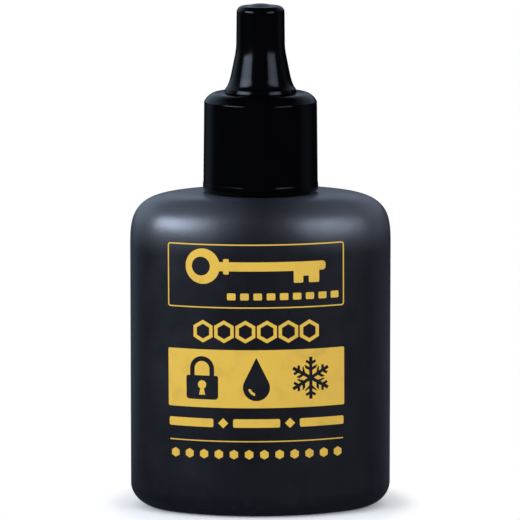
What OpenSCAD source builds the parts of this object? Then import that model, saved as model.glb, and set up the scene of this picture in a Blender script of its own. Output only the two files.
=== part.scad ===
// Squeeze bottle of oval plan with a screw closure, a dropper nozzle and a push-on nozzle cap.
// Millimetres, +Z up. The foot stands on Z = 0, the front faces -Y and the neck's axis is Z.

/* [Bottle] */
// Width across the front
body_w = 45.8; // [42:0.1:52]
// Depth from front to back
body_d = 30; // [27:0.1:34]
// Radius of the narrow sides in plan
side_r = 11.5; // [9:0.1:12.5]
// Height where the straight sides end and the shoulder starts
shoulder_z = 45.5; // [40:0.1:80]
// Height of the shoulder's curve
shoulder_h = 10.3; // [8:0.1:12]
// Squareness of the shoulder's curve at the narrow sides, where 2 is an ellipse
shoulder_side_n = 3.65; // [2.5:0.05:4]
// Squareness of the shoulder's curve at front and back
shoulder_front_n = 2.55; // [2:0.05:3.2]
// Radius of the flat deck round the neck
deck_r = 9.2; // [8.8:0.1:10.5]
// Height of the curve between the sides and the foot
base_h = 4; // [3:0.1:6]
// Width of the foot
foot_w = 36.5; // [32:0.1:39]
// Depth of the foot
foot_d = 23.2; // [21:0.1:25]
// Width of the flat ring that the bottle stands on
foot_ring = 1.4; // [1:0.1:2.5]
// Rise of the base inside that ring
push_up = 1; // [0.5:0.1:1.5]
// Run of the slope from that ring to the raised base
push_run = 1.2; // [0.8:0.1:2]
// Wall thickness of the bottle
bottle_wall = 1; // [0.8:0.05:1.3]
// Facets round the bottle
sides = 60; // [48:4:72]

/* [Neck] */
// Radius of the neck at the thread's root
neck_r = 7.75; // [7.2:0.05:8.2]
// Height of the neck above the shoulder
neck_h = 15.05; // [13:0.05:18]
// Wall thickness of the neck
neck_wall = 1.4; // [1.2:0.05:1.6]
// Width of the chamfer at the neck's foot
neck_foot = 0.3; // [0.2:0.05:0.5]
// Height of the bead's middle above the shoulder
bead_z = 1.9; // [1.6:0.1:2.4]
// How far the bead stands out
bead_out = 0.5; // [0.3:0.05:0.6]
// Height of the bead's flat
bead_flat = 0.2; // [0.1:0.05:0.4]
// Chamfer of the neck's rim
rim_chamfer = 0.2; // [0.1:0.05:0.3]

/* [Thread] */
// Rise of the thread in one turn
pitch = 3; // [2.7:0.05:3.4]
// Turns of thread on the neck
neck_turns = 1.5; // [1.25:0.05:1.75]
// Turns of thread in the closure
closure_turns = 1.25; // [1:0.05:1.5]
// How far a thread stands out of its wall
thread_depth = 0.85; // [0.6:0.05:0.95]
// Width of the neck's thread at its root
thread_root_w = 1.8; // [1.5:0.05:1.95]
// Width of the neck's thread at its crest
thread_crest_w = 0.8; // [0.6:0.05:1]
// Angle over which a thread fades in and out
thread_fade = 40; // [30:5:60]
// How deep a thread's foot is sunk into its wall
thread_sink = 0.35; // [0.25:0.05:0.5]

/* [Closure] */
// Wall thickness at the skirt's upper end
closure_wall = 1.05; // [0.9:0.05:1.4]
// Widening of the skirt from its upper end to its lower edge
skirt_draft = 0.15; // [0.05:0.05:0.4]
// Height of the thicker foot of the skirt
skirt_foot_h = 1.2; // [0.8:0.1:2]
// How far that foot stands out
skirt_foot_out = 0.08; // [0.05:0.01:0.2]
// Height of the slope above that foot
skirt_foot_run = 0.65; // [0.3:0.05:0.9]
// Chamfer of the skirt's lower edge
skirt_chamfer = 0.2; // [0.1:0.05:0.4]
// Thickness of the closure's top
plate_t = 1.6; // [1.5:0.05:2.5]
// Radius of the rounding from the skirt to the top
edge_r = 3.2; // [2:0.1:3.7]
// Tilt of that rounding where it leaves the skirt
edge_low_a = 28; // [20:1:40]
// Tilt of that rounding where it meets the flat top
edge_high_a = 70; // [60:1:80]

/* [Gasket] */
// Thickness of the gasket
gasket_t = 0.8; // [0.5:0.05:1.5]
// Radius of the gasket's hole
gasket_hole_r = 4; // [3:0.1:5]

/* [Nozzle] */
// Radius of the boss that the nozzle cap is pushed on
seat_r = 4.5; // [4.2:0.05:5]
// Chamfer of the boss
seat_chamfer = 0.2; // [0.1:0.05:0.3]
// Radius of the nozzle where it leaves the boss
nozzle_r = 3.1; // [2.8:0.05:3.5]
// Radius of the nozzle at its tip
nozzle_tip_r = 1.6; // [1.3:0.05:2]
// Radius of the tip's rounding
nozzle_round = 0.4; // [0.2:0.05:0.5]
// Radius of the orifice
orifice_r = 0.6; // [0.5:0.05:0.8]
// Length of the orifice
orifice_l = 3; // [2:0.1:4]
// Radius of the channel at the closure's underside
channel_r = 2.6; // [2:0.1:3]

/* [Nozzle cap] */
// Height of the nozzle cap without its crown
cap_h = 15.25; // [13.5:0.05:19]
// Wall thickness at the rim
rim_wall = 1.6; // [1.5:0.05:2]
// Height of the rim
rim_h = 0.75; // [0.5:0.05:0.9]
// Widening of the rim from its upper end to its lower edge
rim_out = 0.2; // [0.1:0.05:0.3]
// Chamfer of the rim's lower edge
rim_edge = 0.15; // [0.1:0.05:0.3]
// Radius of the flare above the rim
flare_r = 2.9; // [2.6:0.1:3.2]
// Slope of the flare at the rim, from the vertical
flare_a = 40; // [36:1:44]
// Radius of the waist between the flare and the cone
waist_r = 9; // [7:0.5:11]
// Slope where the flare turns into the waist, from the vertical
waist_a = 22; // [18:1:26]
// Slope of the cone, from the vertical
cone_a = 11.5; // [10:0.5:13]
// Height of the cone
cone_h = 3.45; // [3:0.05:4]
// Radius of the curve from the cone to the tip
blend_r = 12; // [8:0.5:16]
// Slope of the tip, from the vertical
tip_a = 0.7; // [0.3:0.1:1.5]
// Radius of the tip's edge
tip_edge_r = 1.1; // [0.6:0.1:1.4]
// Wall thickness of the nozzle cap
cap_wall = 0.9; // [0.7:0.05:1.1]
// Thickness of the nozzle cap's end
cap_end_t = 1; // [0.8:0.1:1.5]
// Radius of the low crown on the end
crown_r = 2.4; // [1.8:0.1:2.7]
// Height of the crown
crown_h = 0.4; // [0.2:0.05:0.6]
// Depth of the sealing pin in the orifice
pin_l = 1; // [0.6:0.1:1.5]
// Chamfer of the sealing pin's end
pin_chamfer = 0.15; // [0.05:0.05:0.25]
// Radius of the sealing pin's root
pin_root_r = 1; // [0.9:0.05:1.3]
// Length of the sealing pin's root
pin_root_l = 1.8; // [1.2:0.1:2.2]

/* [Fits] */
// Radial clearance of the thread
thread_clear = 0.25; // [0.2:0.01:0.35]
// Clearance of the thread along the axis, on each side
thread_gap = 0.35; // [0.25:0.05:0.45]
// Gap between the bead and the closure's thread
bead_gap = 1; // [0.6:0.1:1.4]
// Gap between the skirt and the shoulder
skirt_gap = 0.3; // [0.25:0.05:0.8]
// Radial clearance of the nozzle cap on its boss
seat_fit = 0.05; // [0.03:0.01:0.08]
// Gap between the boss's end and the cone inside the nozzle cap
seat_gap = 0.2; // [0.1:0.05:0.4]
// Radial clearance of the sealing pin in the orifice
pin_fit = 0.05; // [0.03:0.01:0.08]
// Gap between the nozzle's tip and the sealing pin's root
tip_gap = 0.3; // [0.2:0.05:0.5]
// Radial clearance of the gasket in the closure
gasket_clear = 0.35; // [0.2:0.05:0.5]
// Gap between the fluid and the wall
fluid_clear = 0.25; // [0.15:0.05:0.4]

/* [Contents] */
// Distance from the fluid's surface up to the shoulder's start
fill_drop = 0.1; // [0:0.1:15]

/* [Hidden] */
$fn = 96;

// Plan of the bottle: two narrow arcs at the sides and two wide arcs at front and back
side_c = body_w / 2 - side_r;
front_c = (side_c * side_c - pow(body_d / 2 - side_r, 2)) / (body_d - 2 * side_r);
front_r = body_d / 2 + front_c;
turn_a = atan(front_c / side_c);

// Heights
deck_z = shoulder_z + shoulder_h;
rim_z = deck_z + neck_h;
plate_z = rim_z + gasket_t;
top_z = plate_z + plate_t;
edge_z = top_z - edge_r * (sin(edge_high_a) - sin(edge_low_a));
skirt_z = deck_z + skirt_gap;
fill_z = shoulder_z - fill_drop;
bead_low_z = deck_z + bead_z - bead_flat / 2 - bead_out;
bead_top_z = deck_z + bead_z + bead_flat / 2 + bead_out;

// Radii of the neck and the closure
bore_r = neck_r - neck_wall;
skirt_in_r = neck_r + thread_depth + thread_clear;
skirt_top_r = skirt_in_r + closure_wall;
skirt_low_r = skirt_top_r + skirt_draft;
skirt_foot_r = skirt_low_r + skirt_foot_out;

// Threads: the closure's fills the neck's groove but for its clearances
thread_slope = (thread_root_w - thread_crest_w) / thread_depth;
closure_crest_w = pitch - 2 * thread_gap - thread_root_w + thread_slope * thread_clear;
closure_root_w = closure_crest_w + thread_slope * thread_depth;
closure_thread_z = bead_top_z + bead_gap + closure_root_w / 2;
neck_thread_z = closure_thread_z + pitch / 2;

// Nozzle cap, with heights counted from its rim
seat_bore_r = seat_r + seat_fit;
rim_r = seat_bore_r + rim_wall;
waist_low_r = rim_r - flare_r * (cos(waist_a) - cos(flare_a));
waist_low_h = rim_h + flare_r * (sin(flare_a) - sin(waist_a));
cone_low_r = waist_low_r - waist_r * (cos(cone_a) - cos(waist_a));
cone_low_h = waist_low_h + waist_r * (sin(waist_a) - sin(cone_a));
cone_top_r = cone_low_r - cone_h * tan(cone_a);
cone_top_h = cone_low_h + cone_h;
tip_low_r = cone_top_r - blend_r * (cos(tip_a) - cos(cone_a));
tip_low_h = cone_top_h + blend_r * (sin(cone_a) - sin(tip_a));
tip_r = tip_low_r - (cap_h - tip_edge_r - tip_low_h) * tan(tip_a);
inner_cone_r = cone_low_r - cap_wall / cos(cone_a);
inner_cone_h = cone_low_h + (inner_cone_r - seat_bore_r) / tan(cone_a);
seat_h = inner_cone_h - seat_gap;
cap_end_h = cap_h - cap_end_t;
nozzle_h = cap_end_h - pin_root_l - tip_gap;
pin_r = orifice_r - pin_fit;
crown_ball_r = (crown_r * crown_r + crown_h * crown_h) / crown_h / 2;

// Steps of the small curves
steps = 8;
waist_steps = 5;
shoulder_steps = 10;
base_steps = 5;

function arc(c, r, a0, a1, n) =
    [for (i = [0:1:n]) let (a = a0 + (a1 - a0) * i / n) c + r * [cos(a), sin(a)]];

// A hollow curve that climbs from point p and turns from slope s0 to slope s1
function hollow(p, r, s0, s1, n) =
    [for (i = [0:1:n]) let (s = s0 + (s1 - s0) * i / n) p + r * [cos(s0) - cos(s), sin(s0) - sin(s)]];

function reversed(list) = [for (i = [len(list) - 1:-1:0]) list[i]];
function after_first(list) = [for (i = [1:1:len(list) - 1]) list[i]];
function flat(list) = [for (a = list) for (b = a) b];

// Point of the plan whose normal points along a, moved inwards
function plan(a, inset) =
    abs(sin(a)) <= sin(turn_a)
        ? [sign(cos(a)) * side_c, 0] + (side_r - inset) * [cos(a), sin(a)]
        : [0, -sign(sin(a)) * front_c] + (front_r - inset) * [cos(a), sin(a)];

// Ring at height z, which is the plan where f is 1 and a circle of radius r where f is 0
function ring(f, inset, r, z) =
    [for (k = [0:1:sides - 1])
        let (a = 360 * k / sides, p = f * plan(a, inset) + (1 - f) * r * [cos(a), sin(a)])
        [p[0], p[1], z]];

// Ring at height z with the shape of the plan, drawn in to the given width and depth
function foot_outline(inset, w, d, z) =
    [for (p = ring(1, inset, 0, z)) [p[0] * w / (body_w - 2 * inset), p[1] * d / (body_d - 2 * inset), z]];

// Rings of the rounded base from its raised middle up to the side, for a skin at a given depth
function base_rings(depth) =
    let (slope = foot_ring + push_run)
    concat(
        [foot_outline(depth, foot_w - 2 * slope, foot_d - 2 * slope, push_up + depth)],
        [foot_outline(depth, foot_w - 2 * foot_ring, foot_d - 2 * foot_ring, depth)],
        [for (j = [0:1:base_steps])
            let (a = 90 * j / base_steps, w = body_w - 2 * depth, d = body_d - 2 * depth)
            foot_outline(
                depth,
                foot_w + (w - foot_w) * sin(a),
                foot_d + (d - foot_d) * sin(a),
                depth + (base_h - depth) * (1 - cos(a)))]);

// Ring of the shoulder at a share t of its height, which is squarer at the narrow sides than at front and back
function shoulder_ring(t, depth) =
    [for (k = [0:1:sides - 1])
        let (
            a = 360 * k / sides,
            n = shoulder_front_n + (shoulder_side_n - shoulder_front_n) * pow(cos(a), 2),
            f = pow(1 - pow(t, n), 1 / n),
            p = f * plan(a, depth) + (1 - f) * (deck_r - depth) * [cos(a), sin(a)])
        [p[0], p[1], shoulder_z + (shoulder_h - depth) * t]];

// Rings of the shoulder from the side up to the deck, for a skin at a given depth
function shoulder_rings(depth) =
    [for (j = [0:1:shoulder_steps]) shoulder_ring(pow(sin(90 * j / shoulder_steps), 2 / shoulder_side_n), depth)];

// Solid whose skin runs through rings that all have the same number of points, closed at both ends
module skin(rings) {
    n = len(rings[0]);
    last = (len(rings) - 1) * n;
    low_end = [[for (k = [0:1:n - 1]) k]];
    high_end = [[for (k = [n - 1:-1:0]) last + k]];
    walls = [for (j = [0:1:len(rings) - 2]) for (k = [0:1:n - 1])
        let (a = j * n + k, b = j * n + (k + 1) % n)
        each [[a, a + n, b], [b, a + n, b + n]]];
    polyhedron(points = flat(rings), faces = concat(low_end, walls, high_end));
}

// Helical ridge that starts at height 0, with its foot sunk into a wall of radius wall_r
module thread(wall_r, crest_r, root_w, crest_w, turns) {
    side = sign(crest_r - wall_r);
    foot_r = wall_r - side * thread_sink;
    low_r = wall_r - side * thread_sink / 2;
    root = root_w / 2 + thread_slope * thread_sink / 2;
    crest = crest_w / 2;
    count = round(36 * turns);
    rings = [for (i = [0:1:count])
        let (
            a = 360 * turns * i / count,
            s = min(1, a / thread_fade, (360 * turns - a) / thread_fade),
            r = low_r + (crest_r - low_r) * s,
            z = pitch * a / 360,
            section = [[foot_r, z - root], [r, z - crest], [r, z + crest], [foot_r, z + root]])
        [for (p = side > 0 ? section : reversed(section)) [p[0] * cos(a), p[0] * sin(a), p[1]]]];
    skin(reversed(rings));
}

// Blow-moulded shell with a threaded neck
module bottle() {
    shell_bore_r = bore_r - neck_foot;
    color([0.11, 0.115, 0.145])
    difference() {
        union() {
            skin(concat(
                base_rings(0),
                shoulder_rings(0),
                [ring(0, 0, shell_bore_r, deck_z), ring(0, 0, shell_bore_r, deck_z - bottle_wall)],
                reversed(shoulder_rings(bottle_wall)),
                reversed(base_rings(bottle_wall))));
            rotate_extrude() polygon([
                [0, deck_z - bottle_wall / 2],
                [neck_r + neck_foot, deck_z - bottle_wall / 2],
                [neck_r + neck_foot, deck_z + neck_foot],
                [neck_r, deck_z + 2 * neck_foot],
                [neck_r, bead_low_z],
                [neck_r + bead_out, bead_low_z + bead_out],
                [neck_r + bead_out, bead_top_z - bead_out],
                [neck_r, bead_top_z],
                [neck_r, rim_z - rim_chamfer],
                [neck_r - rim_chamfer, rim_z],
                [0, rim_z]]);
            translate([0, 0, neck_thread_z])
                thread(neck_r, neck_r + thread_depth, thread_root_w, thread_crest_w, neck_turns);
        }
        translate([0, 0, deck_z - 2 * bottle_wall]) cylinder(r = bore_r, h = neck_h + 3 * bottle_wall);
    }
}

// Filling, drawn as a solid with a level surface
module graphite_fluid() {
    color([0.16, 0.165, 0.175])
    skin(concat(
        base_rings(bottle_wall + fluid_clear),
        [ring(1, bottle_wall + fluid_clear, 0, fill_z)]));
}

// Flat ring between the neck's rim and the closure's top
module closure_gasket() {
    color([0.86, 0.86, 0.83])
    translate([0, 0, rim_z])
    difference() {
        cylinder(r = skirt_in_r - gasket_clear, h = gasket_t);
        translate([0, 0, -gasket_t]) cylinder(r = gasket_hole_r, h = 3 * gasket_t);
    }
}

// Skirt with an inside thread, rounded top, boss and nozzle with its channel
module screw_closure() {
    edge_c = [skirt_top_r - edge_r * cos(edge_low_a), edge_z - edge_r * sin(edge_low_a)];
    color([0.02, 0.02, 0.024])
    union() {
        rotate_extrude() polygon(concat(
            [[skirt_in_r, skirt_z]],
            [[skirt_foot_r - skirt_chamfer, skirt_z], [skirt_foot_r, skirt_z + skirt_chamfer]],
            [[skirt_foot_r, skirt_z + skirt_foot_h], [skirt_low_r, skirt_z + skirt_foot_h + skirt_foot_run]],
            arc(edge_c, edge_r, edge_low_a, edge_high_a, steps),
            [[seat_r, top_z], [seat_r, top_z + seat_h - seat_chamfer]],
            [[seat_r - seat_chamfer, top_z + seat_h], [nozzle_r, top_z + seat_h]],
            arc([nozzle_tip_r - nozzle_round, top_z + nozzle_h - nozzle_round], nozzle_round, 0, 90, steps),
            [[orifice_r, top_z + nozzle_h], [orifice_r, top_z + nozzle_h - orifice_l]],
            [[channel_r, plate_z], [skirt_in_r, plate_z]]));
        translate([0, 0, closure_thread_z])
            thread(skirt_in_r, skirt_in_r - thread_depth, closure_root_w, closure_crest_w, closure_turns);
    }
}

// Flared cap with a pin that seals the orifice
module nozzle_cap() {
    color([0.02, 0.02, 0.024])
    translate([0, 0, top_z])
    rotate_extrude() polygon(concat(
        [[seat_bore_r, 0], [rim_r + rim_out - rim_edge, 0], [rim_r + rim_out, rim_edge]],
        hollow([rim_r, rim_h], flare_r, flare_a, waist_a, waist_steps),
        after_first(hollow([waist_low_r, waist_low_h], waist_r, waist_a, cone_a, waist_steps)),
        hollow([cone_top_r, cone_top_h], blend_r, cone_a, tip_a, steps),
        arc([tip_r - tip_edge_r, cap_h - tip_edge_r], tip_edge_r, 0, 90, steps),
        arc([0, cap_h + crown_h - crown_ball_r], crown_ball_r, 90 - asin(crown_r / crown_ball_r), 90, steps),
        [[0, nozzle_h - pin_l], [pin_r - pin_chamfer, nozzle_h - pin_l]],
        [[pin_r, nozzle_h - pin_l + 2 * pin_chamfer], [pin_r, nozzle_h + tip_gap]],
        [[pin_root_r, nozzle_h + tip_gap], [pin_root_r, cap_end_h]],
        [[tip_r - cap_wall, cap_end_h], [tip_low_r - cap_wall, tip_low_h]],
        [[inner_cone_r - cone_h * tan(cone_a), cone_top_h], [seat_bore_r, inner_cone_h]]));
}

bottle();
graphite_fluid();
closure_gasket();
screw_closure();
nozzle_cap();
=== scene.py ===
"""Studio scene of an oval squeeze bottle with a screw closure, a dropper nozzle and a flared nozzle cap.

Sizes are in millimetres until a mesh is finished. Finished meshes are in metres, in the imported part's own
frame: +Z is up, the foot stands on Z = 0, the front faces -Y and the neck's axis is Z.
"""

import logging
import math
from collections.abc import Callable
from dataclasses import dataclass, field, replace
from enum import Enum
from functools import partial

import bmesh
import bpy
from mathutils import Matrix, Vector


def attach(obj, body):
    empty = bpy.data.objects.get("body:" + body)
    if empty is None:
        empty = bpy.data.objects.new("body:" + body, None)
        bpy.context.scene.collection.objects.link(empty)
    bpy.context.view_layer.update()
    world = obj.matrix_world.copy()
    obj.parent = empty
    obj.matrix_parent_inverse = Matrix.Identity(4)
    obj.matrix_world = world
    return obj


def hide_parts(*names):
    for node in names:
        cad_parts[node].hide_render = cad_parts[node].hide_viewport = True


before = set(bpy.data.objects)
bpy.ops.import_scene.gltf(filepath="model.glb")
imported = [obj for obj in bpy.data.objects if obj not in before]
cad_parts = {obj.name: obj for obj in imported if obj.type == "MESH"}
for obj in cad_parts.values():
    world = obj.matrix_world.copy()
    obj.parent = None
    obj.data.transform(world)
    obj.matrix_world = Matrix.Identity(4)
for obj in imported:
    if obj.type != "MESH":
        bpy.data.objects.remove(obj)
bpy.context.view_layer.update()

LOG = logging.getLogger("squeeze_bottle")
MM = 0.001

# Distances in metres at which points of a mesh count as one.
JOIN = 1e-6
WELD = 1e-7
SPECK = 1e-8

Point = tuple[float, float]
Outline = list[Point]
Corner = tuple[float, float, float]
Ring = list[Vector]
Share = float | Callable[[float], float]
Tree = bpy.types.NodeTree
Socket = bpy.types.NodeSocket
Span = tuple[float | Socket, float | Socket]
Material = bpy.types.Material
Mesh = bpy.types.Mesh
Piece = bpy.types.Object


def linear(hex_colour: str) -> tuple[float, float, float, float]:
    """Turns an sRGB hex colour into linear light.

    Args:
        hex_colour: Six hex digits after a hash sign.

    Returns:
        Red, green, blue and an alpha of one.
    """
    parts = [int(hex_colour[i : i + 2], 16) / 255 for i in (1, 3, 5)]
    light = [c / 12.92 if c <= 0.04045 else ((c + 0.055) / 1.055) ** 2.4 for c in parts]
    return (light[0], light[1], light[2], 1.0)


WHITE = linear("#ffffff")


def put(tree: Tree, kind: str, sockets: dict | None = None, **settings: object) -> bpy.types.Node:
    """Adds a node with its settings and links.

    Args:
        tree: Tree that the node goes into.
        kind: Blender's name for the kind of node.
        sockets: Inputs by name or number. A socket is linked, and anything else is set as a constant.
        settings: The node's own properties.

    Returns:
        The new node.
    """
    node = tree.nodes.new(kind)
    for name, value in settings.items():
        setattr(node, name, value)
    for key, value in (sockets or {}).items():
        if isinstance(value, Socket):
            tree.links.new(value, node.inputs[key])
        else:
            node.inputs[key].default_value = value
    return node


def number(tree: Tree, operation: str, *values: float | Socket) -> Socket:
    """Adds a Math node on the values and gives its result."""
    return put(tree, "ShaderNodeMath", dict(enumerate(values)), operation=operation).outputs[0]


def ranged(tree: Tree, value: Socket, source: Span, target: Span = (0, 1), smooth: bool = False) -> Socket:
    """Adds a Map Range node from a source range to a target range, with soft ends if smooth."""
    ends = dict(zip(("Value", "From Min", "From Max", "To Min", "To Max"), (value, *source, *target)))
    return put(
        tree, "ShaderNodeMapRange", ends, interpolation_type="SMOOTHSTEP" if smooth else "LINEAR"
    ).outputs[0]


def mixed(tree: Tree, share: Socket, first: str | Socket, second: str) -> Socket:
    """Adds a Mix node from a colour, as sRGB hex or a socket, to a share of a second one, as sRGB hex."""
    ends = {"Factor": share, 6: linear(first) if isinstance(first, str) else first, 7: linear(second)}
    return put(tree, "ShaderNodeMix", ends, data_type="RGBA").outputs[2]


def per_mm(size: float) -> float:
    """Gives the texture scale at which a pattern's features are this many millimetres wide."""
    return 1 / (size * MM)


def noise(tree: Tree, place: Socket, size: float, detail: float) -> Socket:
    """Adds a Noise node with features of this many millimetres and gives its value."""
    pattern = {"Vector": place, "Scale": per_mm(size), "Detail": detail}
    return put(tree, "ShaderNodeTexNoise", pattern).outputs[0]


def bump(tree: Tree, height: Socket, depth: float, under: Socket | None = None) -> Socket:
    """Adds a Bump node of this many millimetres, over another bump if there is one, and gives its normal."""
    below = {"Normal": under} if under else {}
    return put(tree, "ShaderNodeBump", {"Height": height, "Distance": depth * MM, **below}).outputs[0]


def along(tree: Tree, place: Socket, way: tuple[float, float, float]) -> Socket:
    """Adds a dot product and gives how far a place lies along a way."""
    return put(tree, "ShaderNodeVectorMath", {0: place, 1: way}, operation="DOT_PRODUCT").outputs["Value"]


def new_material(name: str) -> tuple[Material, Tree, Socket]:
    """Makes a node material that has only its coordinates.

    Args:
        name: The material's name.

    Returns:
        The material, its node tree and its Object coordinates.
    """
    material = bpy.data.materials.new(name)
    material.use_nodes = True
    tree = material.node_tree
    tree.nodes.clear()
    return material, tree, put(tree, "ShaderNodeTexCoord").outputs["Object"]


class Moulding(Enum):
    """How a plastic piece was moulded, which sets how its rub marks run."""

    BLOWN = (1.0, 1.0, 0.12)
    INJECTED = (0.1, 0.1, 1.0)


@dataclass(frozen=True)
class Finish:
    """A named finish, whose patterns all lie on Object coordinates."""

    name: str

    def skin(self, tree: Tree, place: Socket) -> dict[str, object]:
        """Gives the shader's inputs by name. Each kind of finish has its own."""
        raise NotImplementedError

    def material(self) -> Material:
        """Builds the node material.

        Returns:
            The material.
        """
        material, tree, place = new_material(self.name)
        shader = put(tree, "ShaderNodeBsdfPrincipled", self.skin(tree, place))
        put(tree, "ShaderNodeOutputMaterial", {"Surface": shader.outputs[0]})
        return material


@dataclass(frozen=True)
class PlasticFinish(Finish):
    """A dark moulded plastic with clouding, a fine skin, slow waves, rub marks and a share of painted sheen:
    a paler colour on the shoulder towards the narrow sides.
    """

    moulding: Moulding
    colour: str
    cloud_colour: str
    rub_colour: str
    roughness: float
    roughness_swing: float
    ior: float
    specular: float
    bloom: float
    cloud_mm: float
    peel_mm: float
    peel_depth_mm: float
    wave_mm: float
    wave_depth_mm: float
    rub_mm: float
    rub_amount: float
    worn_below_mm: float
    cloud_detail: float = 5.0
    cloud_span: Span = (0.3, 0.7)
    peel_detail: float = 2.0
    wave_detail: float = 1.0
    rub_detail: float = 4.0
    rub_span: Span = (0.6, 0.78)
    rub_roughness: float = 0.12
    bloom_colour: str = "#c9d6ea"
    bloom_roughness: float = 0.5
    # Painted sheen: how much paler the shoulder is painted, how it climbs and how it grows towards the narrow
    # sides.
    painted_sheen: float = 0.0
    painted_sheen_colour: str = "#3f434c"
    painted_sheen_from_mm: float = 45.4
    painted_sheen_to_mm: float = 52.4
    painted_sheen_side_mm: float = 15.0
    painted_sheen_middle: float = 0.08

    def skin(self, tree: Tree, place: Socket) -> dict[str, object]:
        """Builds the plastic's patterns.

        Args:
            tree: The material's tree.
            place: Its coordinates.

        Returns:
            The shader's inputs by name.
        """
        spot = put(tree, "ShaderNodeSeparateXYZ", {0: place}).outputs
        cloud = noise(tree, place, self.cloud_mm, self.cloud_detail)
        body = mixed(tree, cloud, self.colour, self.cloud_colour)
        low, high = self.roughness - self.roughness_swing, self.roughness + self.roughness_swing
        gloss = ranged(tree, cloud, self.cloud_span, (low, high))

        drawn = put(tree, "ShaderNodeMapping", {"Vector": place, "Scale": self.moulding.value}).outputs[0]
        marks = ranged(tree, noise(tree, drawn, self.rub_mm, self.rub_detail), self.rub_span)
        worn = ranged(tree, spot["Z"], (self.worn_below_mm * MM, 0.0), (self.rub_amount, 1.0))
        rub = number(tree, "MULTIPLY", marks, worn)
        rubbed = mixed(tree, rub, body, self.rub_colour)

        # Painted sheen: the colour turns paler up the shoulder and most towards the narrow sides, standing in
        # for the lights' broad reflection there.
        off_middle = number(tree, "ABSOLUTE", spot["X"])
        spread = (self.painted_sheen_middle * self.painted_sheen, self.painted_sheen)
        painted_sheen_by_side = ranged(tree, off_middle, (0.0, self.painted_sheen_side_mm * MM), spread, smooth=True)
        climb = (self.painted_sheen_from_mm * MM, self.painted_sheen_to_mm * MM)
        painted_sheen_mask = ranged(tree, spot["Z"], climb, (0.0, painted_sheen_by_side), smooth=True)

        fine = bump(tree, noise(tree, place, self.peel_mm, self.peel_detail), self.peel_depth_mm)
        wave = noise(tree, place, self.wave_mm, self.wave_detail)
        return {
            "Base Color": mixed(tree, painted_sheen_mask, rubbed, self.painted_sheen_colour),
            "Roughness": number(tree, "MULTIPLY_ADD", rub, self.rub_roughness, gloss),
            "IOR": self.ior,
            "Specular IOR Level": self.specular,
            "Sheen Weight": self.bloom,
            "Sheen Roughness": self.bloom_roughness,
            "Sheen Tint": linear(self.bloom_colour),
            "Normal": bump(tree, wave, self.wave_depth_mm, fine),
        }


@dataclass(frozen=True)
class InkFinish(Finish):
    """Opaque screen ink: even, a little dull, thinner in places so that the dark wall tones it down."""

    colour: str
    thin_colour: str
    roughness: float
    thin_mm: float
    grain_mm: float
    grain_depth_mm: float
    roughness_swing: float = 0.06
    ior: float = 1.5
    thin_detail: float = 6.0
    thin_span: Span = (0.5, 0.85)
    thin_most: float = 0.55
    grain_detail: float = 2.0

    def skin(self, tree: Tree, place: Socket) -> dict[str, object]:
        """Builds the ink's patterns.

        Args:
            tree: The material's tree.
            place: Its coordinates.

        Returns:
            The shader's inputs by name.
        """
        patches = noise(tree, place, self.thin_mm, self.thin_detail)
        thin = ranged(tree, patches, self.thin_span, (0.0, self.thin_most))
        grain = noise(tree, place, self.grain_mm, self.grain_detail)
        low, high = self.roughness - self.roughness_swing, self.roughness + self.roughness_swing
        return {
            "Base Color": mixed(tree, thin, self.colour, self.thin_colour),
            "Roughness": ranged(tree, grain, (0.0, 1.0), (low, high)),
            "IOR": self.ior,
            "Normal": bump(tree, grain, self.grain_depth_mm),
        }


@dataclass(frozen=True)
class CellFinish(Finish):
    """A material that shows small cells: the pores of a foam, or flakes in a fluid."""

    colour: str
    cell_colour: str
    roughness: float
    cell_roughness: float
    metallic: float
    ior: float
    cell_mm: float
    cell_depth_mm: float
    cell_span: Span = (0.0, 0.7)

    def skin(self, tree: Tree, place: Socket) -> dict[str, object]:
        """Builds the cells.

        Args:
            tree: The material's tree.
            place: Its coordinates.

        Returns:
            The shader's inputs by name.
        """
        cells = put(tree, "ShaderNodeTexVoronoi", {"Vector": place, "Scale": per_mm(self.cell_mm)})
        # Each cell's middle, which the bump sinks, takes the cell colour: for the foam that is painted shade
        # in the pores, for the fluid the flakes' own colour.
        depth = ranged(tree, cells.outputs["Distance"], self.cell_span)
        return {
            "Base Color": mixed(tree, depth, self.cell_colour, self.colour),
            "Roughness": ranged(tree, depth, (0.0, 1.0), (self.cell_roughness, self.roughness)),
            "Metallic": self.metallic,
            "IOR": self.ior,
            "Normal": bump(tree, depth, self.cell_depth_mm),
        }


# High-density polyethylene, extrusion blow moulded against a blasted mould: charcoal with a blue cast, a
# satin skin that spreads the lights into wide soft glints, slow waves where the wall cooled, rubbed marks
# near the foot, and painted sheen: a paler colour on the shoulder towards the narrow sides, where the lights'
# broad reflection falls.
BOTTLE_HDPE = PlasticFinish(
    name="hdpe_blow_moulded_charcoal",
    moulding=Moulding.BLOWN,
    colour="#0e0f17",
    cloud_colour="#15161f",
    rub_colour="#2a2d37",
    roughness=0.33,
    roughness_swing=0.04,
    ior=1.54,
    specular=1.0,
    bloom=0.03,
    cloud_mm=6.0,
    peel_mm=0.5,
    peel_depth_mm=0.012,
    wave_mm=9.0,
    wave_depth_mm=0.03,
    rub_mm=0.6,
    rub_amount=0.15,
    worn_below_mm=6.0,
    painted_sheen=1.0,
)

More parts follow.
